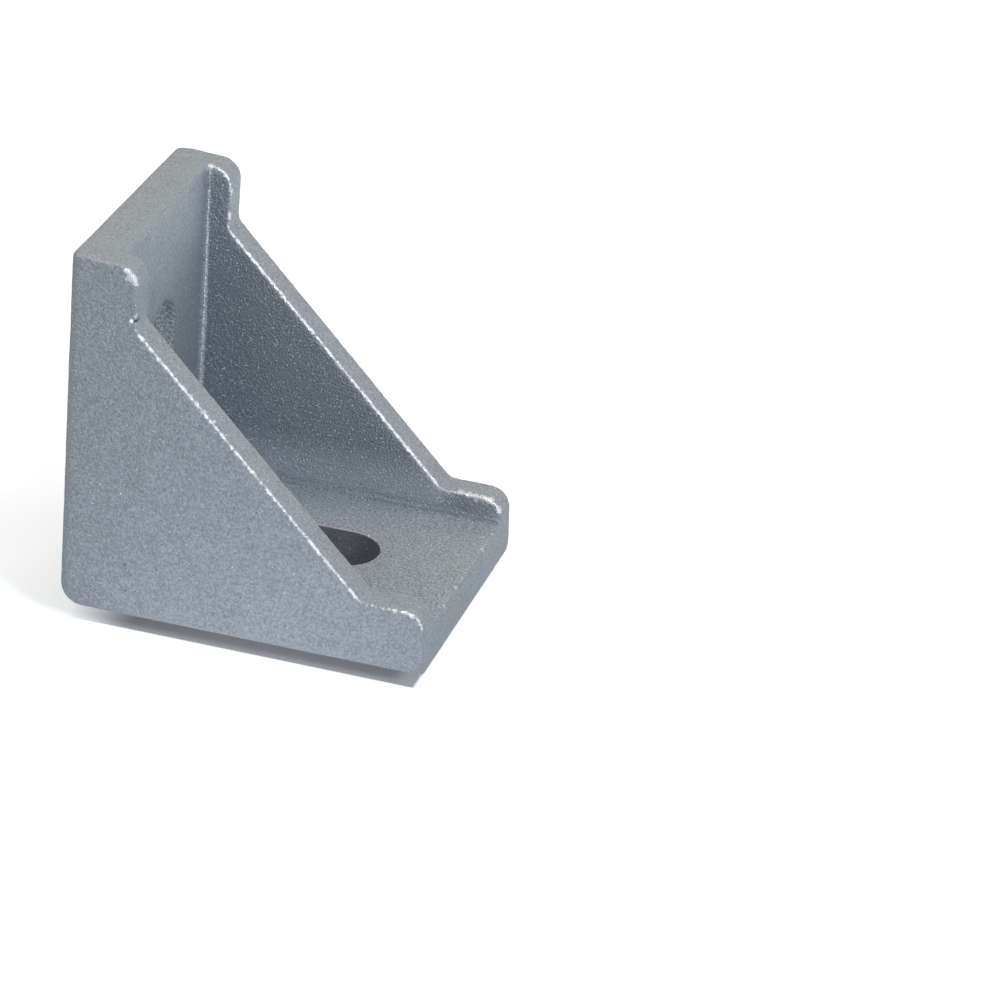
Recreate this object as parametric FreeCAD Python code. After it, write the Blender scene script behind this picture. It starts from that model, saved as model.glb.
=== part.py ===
"""Corner bracket for slotted framing, cast in one piece.

Two equal plates meet at a right angle at the heel. A three-sided wall on each side joins them.
Each plate has one screw slot, and outside it two lugs that drop into the groove of a profile.
Lengths are in millimetres. While it is built, the heel corner of the mounting faces is the origin:
the foot runs along +X, the upright along +Z, and Y is across the width, from its middle.
The finished casting is moved so that the middle of the foot's mounting face is the origin.
"""
import FreeCAD, Part
import math
import os

from FreeCAD import Vector

# Legs and plates
leg_length = 35.0
width = 28.0
plate_thickness = 4.2
heel_radius = 2.2
inner_heel_radius = 3.0

# Side walls: a diagonal rim between two tabs, one at the tip of each leg
wall_thickness = 3.1
wall_draft = 1.0
wall_fillet = 0.5
tab_height = 6.5
tab_length = 6.2
tab_radius = 2.0
neck_radius = 1.2
tip_draft = 3.0

# Rounding of the cast edges
mounting_edge_radius = 1.0
outline_rounding = 0.3
mouth_rounding = 0.3

# Screw slots, wider at the mounting face than inside; the upright's ends a little sooner
slot_start = 8.95
foot_slot_end = 26.05
upright_slot_end = 25.2
slot_width_inside = 7.0
slot_width_outside = 7.6

# Groove lugs, each in a shallow pocket beyond an end of the slot
heel_lug_place = 4.75
tip_lug_place = 30.25
lug_across = 5.2
lug_along = 2.2
lug_height = 2.0
lug_rounding = 0.4
pocket_across = 12.0
pocket_along = 5.0
pocket_depth = 1.5
pocket_corner_radius = 0.5

# How far a cutter runs past the face that it cuts through
overrun = 1.0

# Faces that meet at less than this many degrees count as one smooth surface
smooth_turn = 10.0

half_width = width / 2
inner_half_width = half_width - wall_thickness


def lean(height, angle):
    """Sideways run of a drafted face over a height."""
    return height * math.tan(math.radians(angle))


def prism(points, depth):
    """Solid with an outline in the XZ plane, centred across the width."""
    corners = [Vector(x, -depth / 2, z) for x, z in points]
    face = Part.Face(Part.makePolygon(corners + corners[:1]))
    return face.extrude(Vector(0, depth, 0))


def middle(edge):
    """Point half way along an edge."""
    return edge.valueAt((edge.FirstParameter + edge.LastParameter) / 2)


def edges_across(solid, x, z):
    """Edges that run straight across the width through one point of the outline."""
    found = []
    for edge in solid.Edges:
        ends = [vertex.Point for vertex in edge.Vertexes]
        if all(math.hypot(end.x - x, end.z - z) < 0.001 for end in ends):
            found.append(edge)
    return found


def edges_at_side(solid, side):
    """Edges on one side of a solid, where side is -1 or 1: those with both ends out past the middle."""
    return [edge for edge in solid.Edges if all(vertex.Y * side > 0 for vertex in edge.Vertexes)]


def normal_at(face, point):
    """Outward normal of a face at a point on it."""
    return face.normalAt(*face.Surface.parameter(point))


def sharp_edges(solid):
    """Edges whose two faces meet at an angle and don't run smoothly into each other."""
    found = []
    for edge in solid.Edges:
        first, second = solid.ancestorsOfType(edge, Part.Face)
        point = middle(edge)
        turn = normal_at(first, point).getAngle(normal_at(second, point))
        if math.degrees(turn) > smooth_turn:
            found.append(edge)
    return found


def other_leg(shape):
    """The same feature on the upright, mirrored in the plane that halves the heel's right angle."""
    return shape.mirror(Vector(0, 0, 0), Vector(1, 0, -1))


def side_outline():
    """Corners of the side view with the radius of each, anticlockwise from the foot's tip."""
    tip_top = leg_length - lean(tab_height, tip_draft)
    neck = leg_length - tab_length
    return [
        ((leg_length, 0), 0),
        ((tip_top, tab_height), tab_radius),
        ((neck, tab_height), neck_radius),
        ((tab_height, neck), neck_radius),
        ((tab_height, tip_top), tab_radius),
        ((0, leg_length), 0),
        ((0, 0), heel_radius),
    ]


def outer_block():
    """Full-width block of the side outline, with its corners and its side edges rounded."""
    corners = side_outline()
    block = prism([point for point, radius in corners], width)
    for (x, z), radius in corners:
        if radius:
            block = block.makeFillet(radius, edges_across(block, x, z))
    for side in (-1, 1):
        mounting_edges = [edge for edge in edges_at_side(block, side)
                          if min(middle(edge).x, middle(edge).z) < heel_radius / 2]
        block = block.makeFillet(mounting_edge_radius, mounting_edges)
    return block.makeFillet(outline_rounding, sharp_edges(block))


def hollow():
    """Space between the plates and the side walls, narrower at the heel than at the rims."""
    floor = plate_thickness
    reach = leg_length + tab_height - floor + overrun
    spread = lean((reach - floor) / math.sqrt(2), wall_draft)
    wedge = []
    for side in (-1, 1):
        wedge.append([
            Vector(floor, side * (inner_half_width - spread), floor),
            Vector(reach, side * inner_half_width, floor),
            Vector(floor, side * inner_half_width, reach),
        ])
    near, far = wedge
    faces = [Part.Face(Part.makePolygon(points + points[:1])) for points in wedge]
    for start, end in ((0, 1), (1, 2), (2, 0)):
        loop = [near[start], near[end], far[end], far[start], near[start]]
        faces.append(Part.Face(Part.makePolygon(loop)))
    space = Part.Solid(Part.Shell(faces))
    space = space.makeFillet(inner_heel_radius, edges_across(space, floor, floor))
    for side in (-1, 1):
        seams = [edge for edge in edges_at_side(space, side)
                 if middle(edge).x + middle(edge).z < reach + floor - 0.001]
        space = space.makeFillet(wall_fillet, seams)
    return space


def hollowed_block():
    """The two plates and the two side walls, with the lip all round the hollow's mouth rounded."""
    shell = outer_block().cut(hollow())
    return shell.makeFillet(mouth_rounding, sharp_edges(shell))


def slot_outline(slot_end, across, height):
    """Round-ended outline of a screw slot in the foot, at one height."""
    radius = across / 2
    first, last = slot_start + radius, slot_end - radius
    arcs, sides = [], []
    for x, outward in ((last, 1), (first, -1)):
        arcs.append(Part.Arc(Vector(x, -outward * radius, height), Vector(x + outward * radius, 0, height),
                             Vector(x, outward * radius, height)).toShape())
        sides.append(Part.makeLine(Vector(first, outward * radius, height),
                                   Vector(last, outward * radius, height)))
    return Part.Wire(Part.__sortEdges__(arcs + sides))


def slot_cutter(slot_end):
    """Tapered cutter for a screw slot in the foot, past both faces of the plate."""
    flare = (slot_width_outside - slot_width_inside) / plate_thickness * overrun
    below = slot_outline(slot_end, slot_width_outside + flare, -overrun)
    above = slot_outline(slot_end, slot_width_inside - flare, plate_thickness + overrun)
    return Part.makeLoft([below, above], True, True)


def centred_box(x, along, across, bottom, top):
    """Box centred on a point of the foot's middle line."""
    return Part.makeBox(along, across, top - bottom, Vector(x - along / 2, -across / 2, bottom))


def pocket_cutter(x):
    """Cutter for the shallow pocket in the mounting face round one lug."""
    block = centred_box(x, pocket_along, pocket_across, -overrun, pocket_depth)
    corners = [edge for edge in block.Edges if abs(middle(edge).z - (pocket_depth - overrun) / 2) < 0.001]
    return block.makeFillet(pocket_corner_radius, corners)


def lug(x):
    """Lug that stands on its pocket's floor and out of the mounting face, rounded where it shows."""
    seat = (pocket_depth + plate_thickness) / 2
    block = centred_box(x, lug_along, lug_across, -lug_height, seat)
    free_edges = [edge for edge in block.Edges if middle(edge).z < seat - 0.001]
    return block.makeFillet(lug_rounding, free_edges)


def corner_bracket():
    """The whole casting, with its origin at the middle of the foot's mounting face."""
    casting = hollowed_block()
    casting = casting.cut(slot_cutter(foot_slot_end)).cut(other_leg(slot_cutter(upright_slot_end)))
    lug_places = [heel_lug_place, tip_lug_place]
    for pocket in [pocket_cutter(x) for x in lug_places]:
        casting = casting.cut(pocket).cut(other_leg(pocket))
    for block in [lug(x) for x in lug_places]:
        casting = casting.fuse(block).fuse(other_leg(block))
    casting.translate(Vector(-leg_length / 2, 0, 0))
    return casting


os.makedirs("parts", exist_ok=True)
bracket = corner_bracket()
print("corner_bracket", bracket.ShapeType, "solids", len(bracket.Solids), "valid", bracket.isValid(),
      "volume", round(bracket.Volume, 1))
bracket.exportStep("parts/corner_bracket.step")
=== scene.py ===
import logging
import math
from dataclasses import dataclass, field
from enum import Enum

import bpy
import numpy as np
from mathutils import Matrix, Vector


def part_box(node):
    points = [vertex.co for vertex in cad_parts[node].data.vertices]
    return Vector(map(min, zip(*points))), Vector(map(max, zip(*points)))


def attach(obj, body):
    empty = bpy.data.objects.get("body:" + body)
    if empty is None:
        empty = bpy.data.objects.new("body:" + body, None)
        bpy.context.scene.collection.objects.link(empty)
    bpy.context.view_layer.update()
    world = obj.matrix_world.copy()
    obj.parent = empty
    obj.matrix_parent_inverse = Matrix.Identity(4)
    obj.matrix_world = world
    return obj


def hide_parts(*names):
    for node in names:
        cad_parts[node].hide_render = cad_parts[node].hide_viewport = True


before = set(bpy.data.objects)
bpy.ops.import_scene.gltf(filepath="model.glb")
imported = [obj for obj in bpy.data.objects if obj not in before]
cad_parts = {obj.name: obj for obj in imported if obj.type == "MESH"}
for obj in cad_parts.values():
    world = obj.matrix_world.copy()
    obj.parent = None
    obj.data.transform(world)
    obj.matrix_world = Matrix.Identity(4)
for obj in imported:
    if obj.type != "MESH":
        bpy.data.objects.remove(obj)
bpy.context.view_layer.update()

Colour = tuple[float, float, float, float]
Point = tuple[float, float, float]
Range = tuple[float, float]
Socket = bpy.types.NodeSocket
Feed = Socket | float | Colour

MM = 0.001
WHITE: Colour = (1.0, 1.0, 1.0, 1.0)
# Middle of the casting pit on the near side wall
PIT_X, PIT_Z = -11.17 * MM, 29.60 * MM
log = logging.getLogger("corner_bracket")


class Noise(Enum):
    """Kinds of clouds that push a cast surface in and out."""

    SOFT = "ORIGINAL_PERLIN"
    LUMPY = "BLENDER_ORIGINAL"


def select_only(piece: bpy.types.Object) -> None:
    """Make one object the only selected one, and the active one.

    Args:
        piece: The object that the next operators act on.
    """
    bpy.ops.object.select_all(action="DESELECT")
    piece.select_set(True)
    bpy.context.view_layer.objects.active = piece


def apply_modifier(piece: bpy.types.Object, kind: str, **settings: object) -> None:
    """Add a modifier to a piece and apply it at once.

    Args:
        piece: The mesh object to change.
        kind: Blender's name for the kind of modifier.
        **settings: Values of the modifier's own settings.
    """
    select_only(piece)
    modifier = piece.modifiers.new(kind.lower(), kind)
    for name, value in settings.items():
        setattr(modifier, name, value)
    bpy.ops.object.modifier_apply(modifier=modifier.name)


def read_vectors(items: bpy.types.bpy_prop_collection, name: str) -> np.ndarray:
    """Read one vector of every item of a mesh.

    Args:
        items: A collection of the mesh, such as its vertices.
        name: Name of the vector on each item.

    Returns:
        An array with a row for each item.
    """
    values = np.empty(len(items) * 3, np.float32)
    items.foreach_get(name, values)
    return values.reshape(-1, 3)


def neighbour_mean(values: np.ndarray, ends: np.ndarray) -> np.ndarray:
    """Average a value over the neighbours of each point of a mesh.

    Args:
        values: One value for each point.
        ends: The two points of each edge, a row for each edge.

    Returns:
        The mean of the neighbours' values for each point.
    """
    count = len(values)
    total = np.bincount(ends[:, 0], values[ends[:, 1]], count)
    total += np.bincount(ends[:, 1], values[ends[:, 0]], count)
    return total / np.bincount(ends.ravel(), minlength=count)


def ramp(values: np.ndarray, start: float, end: float) -> np.ndarray:
    """Go evenly from 0 at the start to 1 at the end, and stay level beyond both.

    Args:
        values: One value for each point.
        start: The value that gives 0.
        end: The value that gives 1, which may be the smaller one.

    Returns:
        A share for each point.
    """
    return np.clip((values - start) / (end - start), 0, 1)


@dataclass
class NodeDesk:
    """Adds nodes to one node tree and joins their sockets."""

    tree: bpy.types.NodeTree

    def add(self, kind: str, **settings: object) -> bpy.types.Node:
        """Add a node.

        Args:
            kind: Blender's class name of the node.
            **settings: Values of the node's own properties.

        Returns:
            The new node.
        """
        node = self.tree.nodes.new(kind)
        for name, value in settings.items():
            setattr(node, name, value)
        return node

    def join(self, source: Socket, target: Socket) -> None:
        """Link an output socket to an input socket."""
        self.tree.links.new(source, target)

    def feed(self, value: Feed, target: Socket) -> None:
        """Join a socket to a target, or set the target to a plain value.

        Args:
            value: An output socket, a number or a colour.
            target: The input socket that gets it.
        """
        if isinstance(value, Socket):
            self.join(value, target)
        else:
            target.default_value = value

    def math(self, operation: str, first: Feed, second: Feed) -> Socket:
        """Add a Math node.

        Args:
            operation: The node's operation, such as MULTIPLY.
            first: A socket or a number.
            second: A socket or a number.

        Returns:
            The node's output socket.
        """
        node = self.add("ShaderNodeMath", operation=operation)
        for index, value in enumerate((first, second)):
            self.feed(value, node.inputs[index])
        return node.outputs["Value"]

    def vector_math(self, operation: str, place: Socket, other: Point, output: str = "Value") -> Socket:
        """Add a Vector Math node.

        Args:
            operation: The node's operation, such as DISTANCE.
            place: The vector's socket.
            other: The second vector, the same everywhere.
            output: Name of the output that holds the result.

        Returns:
            That output's socket.
        """
        node = self.add("ShaderNodeVectorMath", operation=operation)
        self.join(place, node.inputs[0])
        node.inputs[1].default_value = other
        return node.outputs[output]

    def swing(self, place: Socket, scale: Feed, amount: Feed, detail: float, roughness: float) -> Socket:
        """Add a noise texture that swings evenly round nought.

        Args:
            place: The coordinates' socket.
            scale: Clouds per unit of the coordinates.
            amount: Height of the swing.
            detail: How many finer layers the clouds have.
            roughness: How strong the finer layers are.

        Returns:
            The swing's socket.
        """
        node = self.add("ShaderNodeTexNoise")
        self.join(place, node.inputs["Vector"])
        self.feed(scale, node.inputs["Scale"])
        node.inputs["Detail"].default_value = detail
        node.inputs["Roughness"].default_value = roughness
        return self.math("MULTIPLY", self.math("SUBTRACT", node.outputs["Fac"], 0.5), amount)

    def spread(self, value: Socket, low: float, high: float,
               out_low: float = 0.0, out_high: float = 1.0) -> Socket:
        """Map a range of values smoothly onto another one.

        Args:
            value: The socket to map.
            low: The value that becomes out_low, with all beyond it.
            high: The value that becomes out_high, with all beyond it.
            out_low: Result at the low end.
            out_high: Result at the high end.

        Returns:
            The mapped value's socket.
        """
        node = self.add("ShaderNodeMapRange", interpolation_type="SMOOTHSTEP")
        self.join(value, node.inputs["Value"])
        node.inputs["From Min"].default_value = low
        node.inputs["From Max"].default_value = high
        node.inputs["To Min"].default_value = out_low
        node.inputs["To Max"].default_value = out_high
        return node.outputs["Result"]

    def blend(self, factor: Feed, first: Feed, second: Feed) -> Socket:
        """Mix two colours.

        Args:
            factor: Share of the second colour, a socket or a number.
            first: A colour or a colour socket.
            second: A colour or a colour socket.

        Returns:
            The mixed colour's socket.
        """
        node = self.add("ShaderNodeMix", data_type="RGBA")
        self.feed(factor, node.inputs["Factor"])
        colours = [socket for socket in node.inputs if socket.type == "RGBA"]
        self.feed(first, colours[0])
        self.feed(second, colours[1])
        return next(socket for socket in node.outputs if socket.type == "RGBA")


def new_group(name: str, values: dict[str, float],
              outputs: tuple[str, ...]) -> tuple[NodeDesk, bpy.types.Node, bpy.types.Node]:
    """Make an empty shader node group that reads coordinates and numbers and puts out numbers.

    Args:
        name: The group's name.
        values: Name of each number that it reads, with its default value.
        outputs: Name of each number that it puts out.

    Returns:
        The desk for the group's tree, its input node and its output node.
    """
    tree = bpy.data.node_groups.new(name, "ShaderNodeTree")
    tree.interface.new_socket(name="Vector", in_out="INPUT", socket_type="NodeSocketVector")
    for label, value in values.items():
        socket = tree.interface.new_socket(name=label, in_out="INPUT", socket_type="NodeSocketFloat")
        socket.default_value = value
    for label in outputs:
        tree.interface.new_socket(name=label, in_out="OUTPUT", socket_type="NodeSocketFloat")
    desk = NodeDesk(tree)
    return desk, desk.add("NodeGroupInput"), desk.add("NodeGroupOutput")


@dataclass(frozen=True)
class CastGrain:
    """Grain of a sand-fine cast surface."""

    cloud_detail: float = 2.0
    cloud_roughness: float = 0.65
    grain_rate: float = 1.4
    grain_core: Range = (0.6, 0.2)
    least_shine: float = 0.35
    grain_relief: float = 0.5
    mottle_range: Range = (-0.25, 0.25)

    def tree(self) -> bpy.types.NodeTree:
        """Make the node group.

        Returns:
            A group that gives a soft mottle, sparse bright specks, sparse dark pores and a height.
        """
        desk, source, result = new_group(
            "cast_grain", {"Scale": 1.0, "Contrast": 1.0, "Speck Level": 0.9, "Pore Level": 0.02},
            ("Mottle", "Specks", "Pores", "Height"))
        place, scale, contrast, speck_level, pore_level = (
            source.outputs[name] for name in ("Vector", "Scale", "Contrast", "Speck Level", "Pore Level"))
        swing = desk.swing(place, scale, contrast, self.cloud_detail, self.cloud_roughness)
        grains = desk.add("ShaderNodeTexVoronoi", feature="F1")
        desk.join(place, grains.inputs["Vector"])
        desk.join(desk.math("MULTIPLY", scale, self.grain_rate), grains.inputs["Scale"])
        lot = desk.add("ShaderNodeSeparateColor")
        desk.join(grains.outputs["Color"], lot.inputs["Color"])
        core = desk.spread(grains.outputs["Distance"], *self.grain_core)
        chosen = desk.math("GREATER_THAN", lot.outputs["Red"], speck_level)
        holed = desk.math("LESS_THAN", lot.outputs["Red"], pore_level)
        shine = desk.math("MULTIPLY", lot.outputs["Green"], 1.0 - self.least_shine)
        shine = desk.math("ADD", shine, self.least_shine)
        specks = desk.math("MULTIPLY", desk.math("MULTIPLY", chosen, core), shine)
        pores = desk.math("MULTIPLY", holed, core)
        grain = desk.math("MULTIPLY", desk.math("SUBTRACT", specks, pores), self.grain_relief)
        desk.join(desk.spread(swing, *self.mottle_range), result.inputs["Mottle"])
        desk.join(specks, result.inputs["Specks"])
        desk.join(pores, result.inputs["Pores"])
        desk.join(desk.math("ADD", swing, grain), result.inputs["Height"])
        return desk.tree


@dataclass(frozen=True)
class BrokenMask:
    """Patchy mask along edges and creases."""

    patch_detail: float = 4.0
    patch_roughness: float = 0.65
    patch_fade: float = 0.3

    def tree(self) -> bpy.types.NodeTree:
        """Make the node group.

        Returns:
            A group that turns a piece's own smooth attribute into a broken mask.
        """
        desk, source, result = new_group(
            "broken_mask", {"Amount": 0.0, "Scale": 1.0, "Breaks": 0.3, "Start": 0.35}, ("Mask",))
        uneven = desk.swing(source.outputs["Vector"], source.outputs["Scale"], source.outputs["Breaks"],
                            self.patch_detail, self.patch_roughness)
        above = desk.math("SUBTRACT", desk.math("ADD", source.outputs["Amount"], uneven),
                          source.outputs["Start"])
        desk.join(desk.spread(above, 0.0, self.patch_fade), result.inputs["Mask"])
        return desk.tree


@dataclass(frozen=True)
class Patches:
    """How one mark breaks up into patches."""

    size: float
    breaks: float
    start: float


@dataclass(frozen=True)
class CastAluminium:
    """Bare aluminium casting, blasted to a fine matt grain and rubbed bright on its edges, where some
    bright spots are painted highlights.
    """

    body_dark: Colour = (0.268, 0.295, 0.335, 1.0)
    body_light: Colour = (0.402, 0.442, 0.503, 1.0)
    # colour of the painted shade
    painted_shade_colour: Colour = (0.246, 0.266, 0.296, 1.0)
    # colour of the specks and of the painted light
    speck_and_painted_light: Colour = (0.92, 0.94, 0.98, 1.0)
    pore: Colour = (0.09, 0.10, 0.12, 1.0)
    # colour of metal brightened by wear and of the painted highlights
    bared_and_highlight: Colour = (0.69, 0.71, 0.79, 1.0)
    matt: float = 0.66
    matt_swing: float = 0.06
    polished: float = 0.38
    speck_polish: float = 0.2
    grain_size: float = 0.22 * MM
    grain_height: float = 0.20 * MM
    coarse_range: Range = (0.5, 2.5)
    coarse_scale: float = 0.8
    least_contrast: float = 0.6
    pore_level: float = 0.008
    speck_level: float = 0.99
    speck_rate: float = 0.16
    speck_glow: float = 0.8
    crease_glow: float = 0.55
    blotch_size: float = 2.4 * MM
    blotch_share: float = 0.14
    wear_and_highlight_patches: Patches = Patches(0.45 * MM, 1.5, 0.38)
    crease_patches: Patches = Patches(0.25 * MM, 1.6, 0.45)
    rim_angle: float = 45.0
    streak_size: float = 0.16 * MM
    streak_stretch: float = 0.05
    streak_amount: float = 1.2
    streak_detail: float = 2.0
    streak_roughness: float = 0.5
    # sizes of the pit's painted shade and of the painted highlight on its lip, and how far the lip lies
    # from the pit
    pit_shade_size: float = 0.17 * MM
    pit_lip: float = 0.31 * MM
    lip_highlight_size: float = 0.20 * MM
    spot_edge: Range = (1.2, 0.6)

    def material(self) -> bpy.types.Material:
        """Build the finish as a material.

        Returns:
            The material, which reads Object coordinates and the casting's own marks.
        """
        made = bpy.data.materials.new("cast_aluminium")
        made.use_nodes = True
        desk = NodeDesk(made.node_tree)
        shader = made.node_tree.nodes["Principled BSDF"]
        shader.inputs["Metallic"].default_value = 1.0
        place = desk.add("ShaderNodeTexCoord").outputs["Object"]
        grain_tree, mask_tree = CastGrain().tree(), BrokenMask().tree()
        grain = self.fine_grain(desk, grain_tree, place)
        blotch = self.placed(desk, grain_tree, place, {
            "Scale": 1 / self.blotch_size, "Speck Level": 1.0, "Pore Level": 0.0})
        worn_and_highlight = self.broken(desk, mask_tree, place, "worn_and_highlight", self.wear_and_highlight_patches)
        crease = self.broken(desk, mask_tree, place, "crease", self.crease_patches)

        tone = desk.math("ADD", desk.math("MULTIPLY", grain.outputs["Mottle"], 1.0 - self.blotch_share),
                         desk.math("MULTIPLY", blotch.outputs["Mottle"], self.blotch_share))
        tone = desk.math("ADD", tone, self.streaks(desk, place))
        bright = desk.math("MAXIMUM", desk.math("MULTIPLY", grain.outputs["Specks"], self.speck_glow),
                           desk.math("MULTIPLY", crease, self.crease_glow))
        colour = desk.blend(tone, self.body_dark, self.body_light)
        layers = (
            # painted shade in the foot slot, along the far seam, on the tab front and low on the upright
            (self.marked(desk, "painted_shade"), self.painted_shade_colour),
            # painted light bounced off the foot plate, and a plainly paler upright slot
            (self.marked(desk, "painted_light_and_paler"), self.speck_and_painted_light),
            (grain.outputs["Pores"], self.pore),
            (bright, self.speck_and_painted_light),
            # edge wear, with painted highlights at the rubbed spots
            (worn_and_highlight, self.bared_and_highlight),
            # painted highlight on the pit's lip
            (self.spot(desk, place, PIT_X - self.pit_lip, self.lip_highlight_size), WHITE),
            # painted shade inside the pit
            (self.spot(desk, place, PIT_X, self.pit_shade_size), self.pore),
        )
        for mask, tint in layers:
            colour = desk.blend(mask, colour, tint)
        desk.join(colour, shader.inputs["Base Color"])

        rough = desk.spread(tone, 0.0, 1.0, self.matt + self.matt_swing, self.matt - self.matt_swing)
        rough = desk.math("SUBTRACT", rough, desk.math("MULTIPLY", bright, self.speck_polish))
        shine = desk.math("MULTIPLY", worn_and_highlight, self.matt - self.polished)
        desk.join(desk.math("SUBTRACT", rough, shine), shader.inputs["Roughness"])

        bump = desk.add("ShaderNodeBump")
        bump.inputs["Strength"].default_value = 1.0
        bump.inputs["Distance"].default_value = self.grain_height
        desk.join(grain.outputs["Height"], bump.inputs["Height"])
        desk.join(bump.outputs["Normal"], shader.inputs["Normal"])
        return made

    def marked(self, desk: NodeDesk, name: str) -> Socket:
        """Read one of the casting's own attributes."""
        return desk.add("ShaderNodeAttribute", attribute_name=name).outputs["Fac"]

    def placed(self, desk: NodeDesk, tree: bpy.types.NodeTree, place: Socket,
               values: dict[str, float]) -> bpy.types.Node:
        """Place a node group in the material.

        Args:
            desk: The desk of the material's tree.
            tree: The group's tree.
            place: The coordinates' socket.
            values: The group's own values here.

        Returns:
            The group node.
        """
        group = desk.add("ShaderNodeGroup", node_tree=tree)
        desk.join(place, group.inputs["Vector"])
        for name, value in values.items():
            group.inputs[name].default_value = value
        return group

    def fine_grain(self, desk: NodeDesk, tree: bpy.types.NodeTree, place: Socket) -> bpy.types.Node:
        """Place the fine grain, which is coarser and more speckled where the casting is marked so.

        Args:
            desk: The desk of the material's tree.
            tree: The grain's tree.
            place: The coordinates' socket.

        Returns:
            The group node.
        """
        grain = self.placed(desk, tree, place, {"Pore Level": self.pore_level})
        coarse = self.marked(desk, "coarse")
        fineness = desk.spread(coarse, *self.coarse_range, 1.0, self.coarse_scale)
        desk.join(desk.math("MULTIPLY", fineness, 1 / self.grain_size), grain.inputs["Scale"])
        rate = desk.math("MULTIPLY", self.marked(desk, "speckled"), self.speck_rate)
        desk.join(desk.math("SUBTRACT", self.speck_level, rate), grain.inputs["Speck Level"])
        desk.join(desk.math("ADD", coarse, self.least_contrast), grain.inputs["Contrast"])
        return grain

    def broken(self, desk: NodeDesk, tree: bpy.types.NodeTree, place: Socket, name: str,
               patches: Patches) -> Socket:
        """Break one of the casting's marks up into patches.

        Args:
            desk: The desk of the material's tree.
            tree: The broken mask's tree.
            place: The coordinates' socket.
            name: Name of the mark.
            patches: How it breaks up.

        Returns:
            The broken mask's socket.
        """
        mask = self.placed(desk, tree, place, {
            "Scale": 1 / patches.size, "Breaks": patches.breaks, "Start": patches.start})
        desk.join(self.marked(desk, name), mask.inputs["Amount"])
        return mask.outputs["Mask"]

    def spot(self, desk: NodeDesk, place: Socket, middle_x: float, size: float) -> Socket:
        """Make a small round mask on the near side wall, level with the casting pit.

        Args:
            desk: The desk of the material's tree.
            place: The coordinates' socket.
            middle_x: Where the middle of the mask is along the foot, in metres.
            size: Radius of the mask in metres.

        Returns:
            A value that is 1 in the middle and 0 outside.
        """
        flat = desk.vector_math("MULTIPLY", place, (1.0, 0.0, 1.0), "Vector")
        apart = desk.vector_math("DISTANCE", flat, (middle_x, 0.0, PIT_Z))
        mask = desk.spread(apart, *(size * edge for edge in self.spot_edge))
        return desk.math("MULTIPLY", mask, self.marked(desk, "near_side"))

    def streaks(self, desk: NodeDesk, place: Socket) -> Socket:
        """Make the fine lines that trimming left along the ground rims.

        Args:
            desk: The desk of the material's tree.
            place: The coordinates' socket.

        Returns:
            A value to add to the tone, nought away from the rims.
        """
        rate = 1 / self.streak_size
        turned = desk.add("ShaderNodeMapping")
        turned.inputs["Rotation"].default_value = (0.0, math.radians(self.rim_angle), 0.0)
        turned.inputs["Scale"].default_value = (self.streak_stretch * rate, rate, rate)
        desk.join(place, turned.inputs["Vector"])
        swing = desk.swing(turned.outputs["Vector"], 1.0, self.streak_amount, self.streak_detail,
                           self.streak_roughness)
        return desk.math("MULTIPLY", swing, self.marked(desk, "ground"))


@dataclass(frozen=True)
class RubAndHighlight:
    """A place, in millimetres, beside an edge that is painted bright: partly metal rubbed bare by
    handling, partly a painted highlight.
    """

    place: Point
    reach: float

    def strength(self, places: np.ndarray) -> np.ndarray:
        """Say how strongly each of some points is brightened by this one."""
        distance = np.linalg.norm(places - np.array(self.place) * MM, axis=1)
        return np.exp(-(distance / (self.reach * MM)) ** 2)


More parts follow.
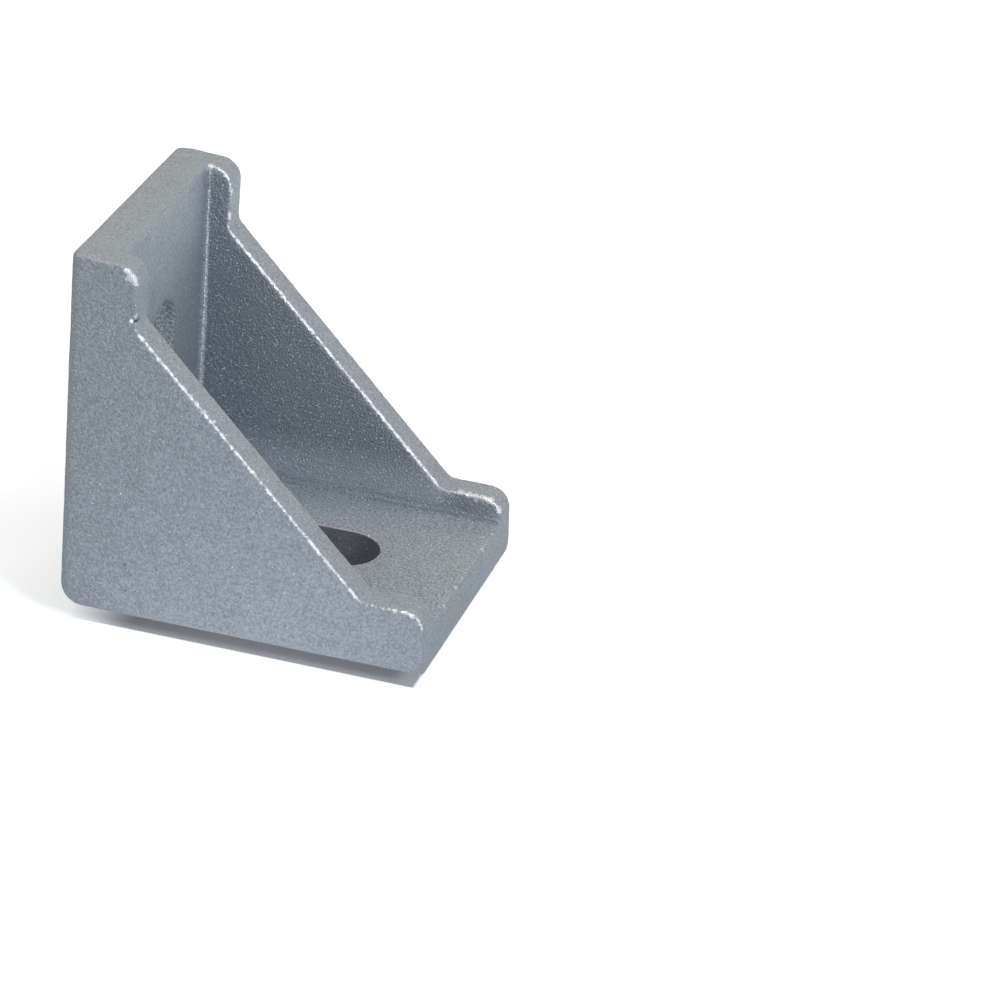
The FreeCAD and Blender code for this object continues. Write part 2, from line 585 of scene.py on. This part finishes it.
@dataclass
class CastSkin:
    """Works out where painted shade darkens the casting, where painted light and a plain paler tone
    lighten it, and where it is coarser or more speckled.

    Its reach is the distance from the origin to the foot's tip. The levels of the kinds of face are in
    the order upright's slot, walls, foot, upright and rims.
    """

    places: np.ndarray
    normals: np.ndarray
    reach: float
    hollow_half: float = 11.5 * MM
    slot_half: float = 3.95 * MM
    slot_start: float = 6.0 * MM
    foot_slot_end: float = 27.0 * MM
    upright_slot_end: float = 30.0 * MM
    slot_facing: float = 0.3
    plate_inside: float = 4.2 * MM
    plate_zone: float = 6.0 * MM
    fade: float = 0.25 * MM
    slack: float = 0.1 * MM
    facing: float = 0.7
    rim_facing: float = 0.6
    seam_facing: float = -0.4
    seam_top: float = 4.75 * MM
    # strengths of the painted shade
    seam_shade: float = 0.35
    tab_shade: float = 0.2
    upright_shade: float = 0.36
    corner_shade: float = 0.3
    # strengths of the painted light bounced off the foot plate, and of the paler upright slot
    wall_bounce: float = 0.26
    foot_bounce: float = 0.075
    heel_bounce: float = 0.03
    far_bounce: float = -0.05
    slot_paling: float = 0.09
    speck_levels: tuple[float, ...] = (1.0, 0.42, 0.35, 0.03, 0.12)
    other_specks: float = 0.02
    corner_specks: float = 0.75
    coarse_levels: tuple[float, ...] = (3.2, 0.1, 2.5, 0.15)
    other_coarse: float = 0.3
    near_side: float = -13.0 * MM

    def slot_walls(self, turned: np.ndarray, along: np.ndarray, depth: np.ndarray,
                   end: float) -> np.ndarray:
        """Find the walls of one slot.

        Args:
            turned: How far the surface at each point is turned away from the plate's own face.
            along: Distance of each point along the plate, from the heel.
            depth: Depth of each point into the plate, from its mounting face.
            end: How far along the plate the slot's surroundings go.

        Returns:
            For each point, 1 on the walls, fading out at the inner face, and 0 elsewhere.
        """
        inside = (np.abs(self.places[:, 1]) < self.slot_half) & (turned > self.slot_facing)
        inside &= (along > self.slot_start) & (along < end) & (depth > -self.slack)
        return inside * ramp(depth, self.plate_inside, self.plate_inside - self.fade)

    def marks(self) -> dict[str, np.ndarray]:
        """Mark the painted shade, the painted light with the paler upright slot, the specks' density, the
        coarseness and the near side wall.

        Returns:
            A value for each point, by the name of its mark.
        """
        x, y, z = self.places.T
        out, across, up = self.normals.T
        from_back = x + self.reach
        foot_slot = self.slot_walls(across ** 2 + out ** 2, from_back, z, self.foot_slot_end)
        upright_slot = self.slot_walls(across ** 2 + up ** 2, z, from_back, self.upright_slot_end)
        hollow = np.abs(y) < self.hollow_half
        hollow &= np.minimum(from_back, z) > self.plate_inside - self.fade
        wall = hollow & (np.abs(across) > self.facing)
        foot = hollow & (up > self.facing) & (z < self.plate_zone)
        upright = hollow & (out > self.facing) & (from_back < self.plate_zone)
        seam = hollow & (z < self.seam_top) & (across < self.seam_facing) & (y > 0)
        rim = (up > self.rim_facing) & ~hollow
        tab_front = (x > -11.9 * MM) & (x < -10.5 * MM) & (y < -11 * MM) & (z > 29 * MM) & (z < 34 * MM)

        low_down, far_corner = ramp(z, 30 * MM, 22 * MM), ramp(y, 8.6 * MM, 10.6 * MM)
        # painted shade in the foot slot, along the far seam, on the tab front and low on the upright
        shaded = upright * (self.upright_shade * low_down + self.corner_shade * far_corner)
        painted_shade = foot_slot + self.seam_shade * seam + self.tab_shade * tab_front + shaded

        # painted light as if bounced off the foot plate, on the far wall and the foot; the upright slot
        # is only made paler
        low_on_wall = ramp(z, 9.5 * MM, 6.5 * MM) * ramp(z, 4.3 * MM, 5.1 * MM) * (y > 0)
        short_of_tab, to_heel = ramp(x, 13 * MM, 11 * MM), ramp(x, 8 * MM, 2 * MM)
        to_far_wall, near_corner = ramp(y, 5 * MM, 9 * MM), ramp(from_back, 7 * MM, 3 * MM)
        painted_light_and_paler = self.wall_bounce * wall * low_on_wall * short_of_tab + self.slot_paling * upright_slot
        painted_light_and_paler = painted_light_and_paler + foot * (self.foot_bounce + self.heel_bounce * to_heel
                                + self.far_bounce * to_far_wall)

        kinds = [upright_slot > 0, wall, foot, upright, rim]
        specks = np.select(kinds, self.speck_levels, self.other_specks)
        specks = specks + self.corner_specks * near_corner * (wall & ~kinds[0])
        marks = {
            "painted_shade": np.clip(painted_shade, 0, 1),
            "painted_light_and_paler": painted_light_and_paler,
            "speckled": specks * (foot_slot == 0),
            "coarse": np.select(kinds[:4], self.coarse_levels, self.other_coarse),
            "near_side": y < self.near_side,
        }
        return {name: values.astype(np.float32) for name, values in marks.items()}


@dataclass
class CastBracket:
    """The whole casting, with the unevenness of its cast surfaces."""

    finish: CastAluminium = field(default_factory=CastAluminium)
    node: str = "corner_bracket"
    name: str = "bracket_casting"
    mesh_size: float = 0.17 * MM
    most_triangles: int = 190_000
    wave_size: float = 4.0 * MM
    wave_depth: float = 0.05 * MM
    lump_size: float = 0.7 * MM
    lump_depth: float = 0.03 * MM
    nick_size: float = 0.40 * MM
    nick_depth: float = 0.13 * MM
    pit_place: Point = (PIT_X, -13.95 * MM, PIT_Z)
    pit_radius: float = 0.30 * MM
    pit_depth: float = 0.18 * MM
    inner_half: float = 10.9 * MM
    hollow_half: float = 11.5 * MM
    plate_zone: float = 6.0 * MM
    tip_zone: float = 2.0 * MM
    slot_zone: float = 4.7 * MM
    tip_softening: int = 20
    band_place: float = -12.86 * MM
    band_width: float = 0.28 * MM
    band_lean: float = 0.20 * MM
    band_narrowing: float = 0.6
    band_fading: float = 0.25
    band_core: float = 0.375
    band_facing: float = -0.3
    rim_sum: float = 17.8 * MM
    rim_zone: float = 1.2 * MM
    full_bulge: float = 0.135
    foot_mouth_wear: float = 0.78
    far_mouth_wear: float = 0.35
    near_mouth_wear: float = 0.25
    tip_wear: float = 0.3
    other_wear: float = 0.45
    rub_and_highlight_wear: float = 0.85
    least_mark: float = 0.05
    ground_slope: Range = (0.94, 0.98)
    # spots beside edges painted bright: partly rubbed bare by handling, partly painted highlight
    rubs_and_highlights: tuple[RubAndHighlight, ...] = (
        RubAndHighlight((-11.60, -13.98, 33.75), 0.75), RubAndHighlight((-12.10, -13.90, 34.25), 0.50),
        RubAndHighlight((-11.25, -13.80, 33.35), 0.50), RubAndHighlight((-11.67, 11.09, 34.12), 0.40),
        RubAndHighlight((-11.25, 11.20, 33.20), 0.35), RubAndHighlight((-11.05, 11.29, 32.35), 0.40),
        RubAndHighlight((-11.06, 11.09, 29.92), 0.45), RubAndHighlight((-13.10, 11.18, 34.71), 0.45),
        RubAndHighlight((13.15, 11.17, 6.44), 0.55), RubAndHighlight((13.90, 11.10, 6.42), 0.55),
        RubAndHighlight((14.57, 11.02, 6.39), 0.60), RubAndHighlight((15.30, 11.05, 6.33), 0.65),
        RubAndHighlight((15.94, 11.06, 6.24), 0.65), RubAndHighlight((16.94, 11.20, 5.44), 0.50),
        RubAndHighlight((14.40, -13.90, 6.40), 0.40), RubAndHighlight((15.35, -13.80, 6.43), 0.36),
        RubAndHighlight((16.04, -13.90, 6.15), 0.38), RubAndHighlight((16.68, -13.80, 5.75), 0.34),
        RubAndHighlight((17.10, -7.0, 4.05), 0.24), RubAndHighlight((17.10, -3.0, 4.05), 0.30),
        RubAndHighlight((17.10, 5.2, 4.05), 0.26), RubAndHighlight((17.10, 8.7, 4.05), 0.26),
        RubAndHighlight((-11.04, -13.65, 30.24), 0.25), RubAndHighlight((-6.35, -13.72, 24.15), 0.24),
        RubAndHighlight((-5.60, -13.80, 23.40), 0.32), RubAndHighlight((-5.00, -13.75, 22.80), 0.30),
        RubAndHighlight((-4.35, -13.60, 22.15), 0.26), RubAndHighlight((-3.90, -13.45, 21.70), 0.22),
        RubAndHighlight((-3.45, -13.42, 21.25), 0.22), RubAndHighlight((-2.30, -13.40, 20.10), 0.18),
    )

    def build(self) -> bpy.types.Object:
        """Make the casting from its CAD node and dress it.

        Returns:
            The finished piece.
        """
        piece = self.copy_casting()
        self.even_mesh(piece)
        self.soften_tips(piece)
        self.mark_edges(piece)
        self.roughen(piece)
        self.sink_pit(piece)
        self.thin_out(piece)
        self.store_marks(piece)
        piece.data.materials.clear()
        piece.data.materials.append(self.finish.material())
        select_only(piece)
        bpy.ops.object.shade_smooth()
        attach(piece, "root")
        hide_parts(self.node)
        return piece

    def copy_casting(self) -> bpy.types.Object:
        """Copy the CAD node's mesh into a new object and merge its loose triangles.

        Returns:
            The new object.
        """
        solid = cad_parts[self.node]
        piece = bpy.data.objects.new(self.name, solid.data.copy())
        bpy.context.scene.collection.objects.link(piece)
        select_only(piece)
        bpy.ops.object.mode_set(mode="EDIT")
        bpy.ops.mesh.select_all(action="SELECT")
        bpy.ops.mesh.remove_doubles(threshold=0.001 * MM)
        bpy.ops.mesh.normals_make_consistent(inside=False)
        bpy.ops.object.mode_set(mode="OBJECT")
        if piece.data.has_custom_normals:
            bpy.ops.mesh.customdata_custom_splitnormals_clear()
        return piece

    def even_mesh(self, piece: bpy.types.Object) -> None:
        """Give the casting small even faces that lie on the CAD surface.

        Args:
            piece: The merged copy of the CAD node.
        """
        exact = bpy.data.objects.new("exact_surface", piece.data.copy())
        bpy.context.scene.collection.objects.link(exact)
        apply_modifier(piece, "REMESH", mode="VOXEL", voxel_size=self.mesh_size, adaptivity=0.0)
        apply_modifier(piece, "SMOOTH", factor=0.5, iterations=3)
        apply_modifier(piece, "SHRINKWRAP", target=exact, wrap_method="NEAREST_SURFACEPOINT")
        apply_modifier(piece, "SMOOTH", factor=0.5, iterations=1)
        bpy.data.objects.remove(exact)

    def zones(self, piece: bpy.types.Object) -> tuple[np.ndarray, np.ndarray]:
        """Find what lies on the two plates between the walls.

        Args:
            piece: The casting with its even mesh.

        Returns:
            For each point, whether it is at a plate's tip edge, and whether it is near a slot.
        """
        high = np.array(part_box(self.node)[1])
        x, y, z = read_vectors(piece.data.vertices, "co").T
        on_foot, on_upright = z < self.plate_zone, x < self.plate_zone - high[0]
        between = (np.abs(y) < self.inner_half) & (on_foot | on_upright)
        tips = between & ((x > high[0] - self.tip_zone) | (z > high[2] - self.tip_zone))
        return tips, between & ~tips & (np.abs(y) < self.slot_zone)

    def soften_tips(self, piece: bpy.types.Object) -> None:
        """Round the edges at the tip of each plate, which are softer than the rest.

        Args:
            piece: The casting with its even mesh.
        """
        tips, _ = self.zones(piece)
        x, _, z = read_vectors(piece.data.vertices, "co").T
        foot_bottom = (x > 16.2 * MM) & (z < 1.4 * MM)
        upright_back = (z > 33.7 * MM) & (x < -16.1 * MM)
        softer = np.flatnonzero(tips | foot_bottom | upright_back)
        group = piece.vertex_groups.new(name="tips")
        group.add([int(index) for index in softer], 1.0, "REPLACE")
        apply_modifier(piece, "SMOOTH", factor=0.5, iterations=self.tip_softening, vertex_group="tips")
        piece.vertex_groups.clear()

    def corner_band(self, places: np.ndarray, normals: np.ndarray) -> np.ndarray:
        """Find the pale band on the far wall beside its corner with the upright, fainter towards its top.

        Args:
            places: The points of the casting.
            normals: The outward direction at each point.

        Returns:
            For each point, 1 in the middle of the band's foot and 0 outside.
        """
        x, y, z = places.T
        rise = ramp(z, 20 * MM, 30 * MM)
        middle = self.band_place - self.band_lean * rise
        width = self.band_width * (1 - self.band_narrowing * rise)
        off_middle = np.abs(x - middle) / width
        on_wall = (y > 0) & (y < self.hollow_half) & (normals[:, 1] < self.band_facing)
        return ramp(off_middle, 1.0, self.band_core) * on_wall * (1 - self.band_fading * rise)

    def rim_share(self, places: np.ndarray) -> np.ndarray:
        """Say how strongly each edge is rubbed: most on the rims, least round the mounting faces.

        Args:
            places: The points of the casting.

        Returns:
            A share of the full wear for each point.
        """
        x, y, z = places.T
        upright_tip = (z > 33 * MM) & (x < -15 * MM)
        mounting_edges = (z < 1.5 * MM) | (x < -15.8 * MM)
        foot_end = (x > 17 * MM) & (z < 5 * MM)
        rims = np.abs(x + z - self.rim_sum) < self.rim_zone
        far_wall = (y > 9 * MM) & (y < 13 * MM)
        foot_tabs = x > 10 * MM
        shares = ((upright_tip, 0.05), (mounting_edges, 0.2), (foot_end, 0.35), (rims & (y < 0), 0.92),
                  (rims, 1.0), (far_wall, 0.9), (foot_tabs, 0.85))
        return np.select(*zip(*shares), self.other_wear)

    def bulge(self, mesh: bpy.types.Mesh, places: np.ndarray, normals: np.ndarray) -> np.ndarray:
        """Measure how far the surface bulges out at each point, against the size of its faces.

        Args:
            mesh: The casting's even mesh.
            places: The points of the casting.
            normals: The outward direction at each point.

        Returns:
            A number for each point, above nought on an edge and below it in a crease.
        """
        ends = np.empty(len(mesh.edges) * 2, np.int32)
        mesh.edges.foreach_get("vertices", ends)
        ends = ends.reshape(-1, 2)
        pull = np.stack([neighbour_mean(places[:, axis], ends) for axis in range(3)], 1) - places
        bulge = -(pull * normals).sum(1) / self.mesh_size
        for _ in range(2):
            bulge = (bulge + neighbour_mean(bulge, ends)) / 2
        return bulge

    def mark_edges(self, piece: bpy.types.Object) -> None:
        """Mark the edge wear, with painted highlights at the rubbed spots, and the band in the far corner
        with vertex groups.

        Args:
            piece: The casting with its even mesh.
        """
        places = read_vectors(piece.data.vertices, "co")
        normals = read_vectors(piece.data.vertex_normals, "vector")
        tips, slots = self.zones(piece)
        far_mouths = np.where(places[:, 2] < self.plate_zone, self.foot_mouth_wear, self.far_mouth_wear)
        mouths = np.where(places[:, 1] > 0, far_mouths, self.near_mouth_wear)
        share = np.where(slots, mouths, np.where(tips, self.tip_wear, self.rim_share(places)))
        worn_and_highlight = self.bulge(piece.data, places, normals) / self.full_bulge * share
        # the rubbed spots add painted highlights to the edge wear
        for bright_spot in self.rubs_and_highlights:
            worn_and_highlight = np.maximum(worn_and_highlight, self.rub_and_highlight_wear * bright_spot.strength(places))
        for name, amount in (("worn_and_highlight", worn_and_highlight), ("crease", self.corner_band(places, normals))):
            strength = np.clip(amount, 0, 1)
            group = piece.vertex_groups.new(name=name)
            for index in np.flatnonzero(strength > self.least_mark):
                group.add([int(index)], float(strength[index]), "REPLACE")

    def roughen(self, piece: bpy.types.Object) -> None:
        """Push the surface inwards by waves, lumps and, along the edges, nicks.

        Args:
            piece: The casting with its marked edges.
        """
        self.press_in(piece, Noise.SOFT, self.wave_size, self.wave_depth)
        self.press_in(piece, Noise.LUMPY, self.lump_size, self.lump_depth)
        self.press_in(piece, Noise.LUMPY, self.nick_size, self.nick_depth, group="worn_and_highlight")

    def press_in(self, piece: bpy.types.Object, noise: Noise, size: float, depth: float,
                 group: str = "") -> None:
        """Press the surface inwards by up to one depth, following a cloud texture.

        Args:
            piece: The mesh object to change.
            noise: The kind of clouds.
            size: Size of one cloud in metres.
            depth: Deepest push in metres.
            group: Vertex group that limits the push, or nothing for the whole surface.
        """
        clouds = bpy.data.textures.new("clouds", "CLOUDS")
        clouds.noise_basis = noise.value
        clouds.noise_scale = size
        clouds.noise_depth = 1
        apply_modifier(piece, "DISPLACE", texture=clouds, texture_coords="LOCAL", direction="NORMAL",
                       strength=depth, mid_level=1.0, vertex_group=group)
        bpy.data.textures.remove(clouds)

    def sink_pit(self, piece: bpy.types.Object) -> None:
        """Sink the small casting pit near the neck of the upright's tab.

        Args:
            piece: The casting with its rough surface.
        """
        select_only(piece)
        places = read_vectors(piece.data.vertices, "co")
        nearest = int(np.linalg.norm(places - np.array(self.pit_place), axis=1).argmin())
        bpy.ops.object.mode_set(mode="EDIT")
        bpy.ops.mesh.select_all(action="DESELECT")
        bpy.ops.object.mode_set(mode="OBJECT")
        piece.data.vertices[nearest].select = True
        bpy.ops.object.mode_set(mode="EDIT")
        bpy.ops.mesh.select_mode(type="VERT")
        bpy.ops.transform.translate(value=(0.0, self.pit_depth, 0.0), use_proportional_edit=True,
                                    proportional_edit_falloff="SMOOTH",
                                    proportional_size=self.pit_radius)
        bpy.ops.object.mode_set(mode="OBJECT")

    def thin_out(self, piece: bpy.types.Object) -> None:
        """Merge faces where the surface is plain, down to the most triangles a piece may have.

        Args:
            piece: The casting with all its detail.
        """
        triangles = sum(len(face.vertices) - 2 for face in piece.data.polygons)
        log.info("before thinning: %d triangles", triangles)
        if triangles > self.most_triangles:
            apply_modifier(piece, "DECIMATE", ratio=self.most_triangles / triangles)

    def store_marks(self, piece: bpy.types.Object) -> None:
        """Turn the vertex groups into attributes, and add the marks of the ground rims and those that
        CastSkin works out, painted shade and light among them.

        Args:
            piece: The casting with its final mesh.
        """
        mesh = piece.data
        names = [group.name for group in piece.vertex_groups]
        marks = {name: np.zeros(len(mesh.vertices), np.float32) for name in names}
        for vertex in mesh.vertices:
            for member in vertex.groups:
                marks[names[member.group]][vertex.index] = member.weight
        piece.vertex_groups.clear()
        normals = read_vectors(mesh.vertex_normals, "vector")
        slope = normals @ np.array((1.0, 0.0, 1.0)) / math.sqrt(2)
        marks["ground"] = ramp(slope, *self.ground_slope).astype(np.float32)
        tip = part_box(self.node)[1][0]
        marks.update(CastSkin(read_vectors(mesh.vertices, "co"), normals, tip).marks())
        for name, values in marks.items():
            mesh.attributes.new(name, "FLOAT", "POINT").data.foreach_set("value", values)


@dataclass(frozen=True)
class Lamp:
    """A rectangular lamp that faces the bracket."""

    name: str
    place: Point
    size: float
    power: float
    colour: tuple[float, float, float]

    def build(self, target: Point) -> bpy.types.Object:
        """Hang the lamp.

        Args:
            target: The point that the lamp faces.

        Returns:
            The lamp object.
        """
        data = bpy.data.lights.new(self.name, "AREA")
        data.shape = "SQUARE"
        data.size = self.size
        data.energy = self.power
        data.color = self.colour
        lamp = bpy.data.objects.new(self.name, data)
        bpy.context.scene.collection.objects.link(lamp)
        lamp.location = self.place
        lamp.rotation_euler = (Vector(target) - Vector(self.place)).to_track_quat("-Z", "Y").to_euler()
        lamp.visible_camera = False
        return lamp


@dataclass
class Studio:
    """Pale floor, white surroundings, soft lamps and the camera."""

    floor_level: float = -2.0 * MM
    floor_width: float = 8.0
    floor_matt: float = 0.9
    floor_colour: Colour = (0.88, 0.88, 0.88, 1.0)
    near_lift: float = 0.45
    far_lift: float = 1.0
    lift_range: Range = (0.15, 0.8)
    shade_colour: Colour = (0.56, 0.53, 0.55, 1.0)
    shade_lift: float = 0.08
    shade_left: float = -17.8 * MM
    shade_right: float = 16.3 * MM
    shade_side: float = 12.25 * MM
    heel_fade: float = 7.0 * MM
    edge_fade: float = 0.3 * MM
    side_fade: float = 0.15 * MM
    front_lift: float = 0.5
    back_glow: float = 0.96
    back_way: Point = (0.5, 0.87, 0.0)
    back_range: Range = (0.0, 0.12)
    front_glow: float = 0.72
    front_place: Point = (0.0, -25.0 * MM, -2.0 * MM)
    front_range: Range = (0.01, 0.03)
    sky_colour: Colour = (0.59, 0.545, 0.415, 1.0)
    sky_fill: float = 0.03
    target: Point = (0.0, 0.0, 12.0 * MM)
    lamps: tuple[Lamp, ...] = (
        Lamp("key_lamp", (0.566, -0.40, 0.412), 0.16, 3.77, (0.75, 0.88, 1.0)),
        Lamp("top_lamp", (0.1, 0.15, 0.9), 0.9, 5.0, (1.0, 0.97, 1.0)),
        Lamp("fill_lamp", (-0.45, -0.60, 0.35), 0.7, 1.38, (0.89, 1.0, 0.95)),
    )
    sensor: float = 36.0
    lens: float = 167.09
    clip: Range = (0.01, 100.0)
    camera_place: Point = (112.36 * MM, -366.03 * MM, 200.14 * MM)
    camera_turns: tuple[tuple[float, str], ...] = ((14.205, "Z"), (63.529, "X"), (4.732, "Z"))

    def build(self) -> list[bpy.types.Object]:
        """Set up everything round the bracket.

        Returns:
            The floor, the lamps and the camera.
        """
        floor = self.lay_floor()
        self.light_world()
        lamps = [lamp.build(self.target) for lamp in self.lamps]
        bpy.context.scene.view_settings.view_transform = "Standard"
        return [floor, *lamps, self.place_camera()]

    def mirrored(self, desk: NodeDesk, path: bpy.types.Node) -> Socket:
        """Tell the rays by which metal and glass show the surroundings."""
        return desk.math("MAXIMUM", path.outputs["Is Glossy Ray"], path.outputs["Is Transmission Ray"])

    def cover(self, desk: NodeDesk, place: Socket) -> tuple[Socket, Socket]:
        """Tell the floor that the bracket covers, and the floor in front and to the right of that.

        Args:
            desk: The desk of the floor's material.
            place: The coordinates' socket.

        Returns:
            A value that is 1 under the bracket, and one that is 1 in front and to the right.
        """
        split = desk.add("ShaderNodeSeparateXYZ")
        desk.join(place, split.inputs[0])
        along, across = split.outputs["X"], split.outputs["Y"]
        heel = desk.spread(along, self.shade_left, self.shade_left + self.heel_fade)
        tip = desk.spread(along, self.shade_right, self.shade_right - self.edge_fade)
        sides = desk.spread(desk.math("ABSOLUTE", across, 0.0), self.shade_side,
                            self.shade_side - self.side_fade)
        covered = desk.math("MULTIPLY", desk.math("MULTIPLY", heel, tip), sides)
        front = desk.spread(across, -self.shade_side, -self.shade_side - self.edge_fade)
        right = desk.spread(along, self.shade_right, self.shade_right + self.edge_fade)
        return covered, desk.math("MAXIMUM", front, right)

    def seen_white(self, desk: NodeDesk, place: Socket, covered: Socket, in_front: Socket) -> Socket:
        """Lift the floor that the camera sees to white, more so far away, and least under the bracket.

        Args:
            desk: The desk of the floor's material.
            place: The coordinates' socket.
            covered: The value that is 1 under the bracket.
            in_front: The value that is 1 in front and to the right of it.

        Returns:
            The lift's socket.
        """
        apart = desk.vector_math("DISTANCE", place, (0.0, 0.0, self.floor_level))
        white = desk.math("ADD", desk.spread(apart, *self.lift_range, self.near_lift, self.far_lift),
                          desk.math("MULTIPLY", in_front, self.front_lift))
        white = desk.math("MULTIPLY", white, desk.math("SUBTRACT", 1.0, covered))
        return desk.math("ADD", white, self.shade_lift)

    def mirror_glow(self, desk: NodeDesk, place: Socket) -> Socket:
        """Say how brightly the floor shows in the metal: behind the bracket and close in front of it.

        Args:
            desk: The desk of the floor's material.
            place: The coordinates' socket.

        Returns:
            The glow's socket.
        """
        behind = desk.vector_math("DOT_PRODUCT", place, self.back_way)
        in_front = desk.vector_math("DISTANCE", place, self.front_place)
        return desk.math("ADD", desk.spread(behind, *self.back_range, 0.0, self.back_glow),
                         desk.spread(in_front, *self.front_range, self.front_glow, 0.0))

    def floor_material(self) -> bpy.types.Material:
        """Make the floor's finish, white to the camera but for the bracket's shadow.

        Returns:
            The material.
        """
        made = bpy.data.materials.new("pale_floor")
        made.use_nodes = True
        desk = NodeDesk(made.node_tree)
        shader = made.node_tree.nodes["Principled BSDF"]
        shader.inputs["Roughness"].default_value = self.floor_matt
        shader.inputs["Specular IOR Level"].default_value = 0.0
        shader.inputs["Emission Color"].default_value = WHITE
        place = desk.add("ShaderNodeTexCoord").outputs["Object"]
        path = desk.add("ShaderNodeLightPath")
        covered, in_front = self.cover(desk, place)
        desk.join(desk.blend(covered, self.floor_colour, self.shade_colour), shader.inputs["Base Color"])
        white = self.seen_white(desk, place, covered, in_front)
        seen = desk.math("MULTIPLY", white, path.outputs["Is Camera Ray"])
        glow = desk.math("MULTIPLY", self.mirror_glow(desk, place), self.mirrored(desk, path))
        desk.join(desk.math("ADD", seen, glow), shader.inputs["Emission Strength"])
        return made

    def lay_floor(self) -> bpy.types.Object:
        """Lay the floor under the lugs.

        Returns:
            The floor.
        """
        bpy.ops.object.select_all(action="DESELECT")
        bpy.ops.mesh.primitive_plane_add(size=self.floor_width, location=(0, 0, self.floor_level))
        bpy.ops.object.transform_apply(location=True, rotation=True, scale=True)
        floor = bpy.context.object
        floor.name = "floor"
        floor.data.materials.append(self.floor_material())
        return floor

    def light_world(self) -> None:
        """Surround the scene with white, which metal shows as a warm grey."""
        world = bpy.data.worlds.new("white_surroundings")
        world.use_nodes = True
        bpy.context.scene.world = world
        desk = NodeDesk(world.node_tree)
        background = world.node_tree.nodes["Background"]
        path = desk.add("ShaderNodeLightPath")
        seen = desk.math("MAXIMUM", path.outputs["Is Camera Ray"], self.mirrored(desk, path))
        strength = desk.math("ADD", desk.math("MULTIPLY", seen, 1.0 - self.sky_fill), self.sky_fill)
        desk.join(strength, background.inputs["Strength"])
        colour = desk.blend(path.outputs["Is Camera Ray"], self.sky_colour, WHITE)
        desk.join(colour, background.inputs["Color"])

    def place_camera(self) -> bpy.types.Object:
        """Stand the camera where the bracket is seen from its right front and above.

        Returns:
            The camera.
        """
        data = bpy.data.cameras.new("camera")
        data.sensor_width = self.sensor
        data.lens = self.lens
        data.clip_start, data.clip_end = self.clip
        camera = bpy.data.objects.new("camera", data)
        bpy.context.scene.collection.objects.link(camera)
        turn = Matrix.Identity(4)
        for degrees, axis in self.camera_turns:
            turn = turn @ Matrix.Rotation(math.radians(degrees), 4, axis)
        camera.matrix_world = Matrix.Translation(self.camera_place) @ turn
        bpy.context.scene.camera = camera
        return camera


def main() -> None:
    """Build the bracket and the studio round it, and report each of their pieces."""
    logging.basicConfig(level=logging.INFO, format="%(name)s: %(message)s")
    casting = CastBracket().build()
    log.info("%s: %d faces", casting.name, len(casting.data.polygons))
    for thing in Studio().build():
        log.info("%s: %s at %.3f, %.3f, %.3f m", thing.name, thing.type.lower(), *thing.location)


if __name__ == "__main__":
    main()
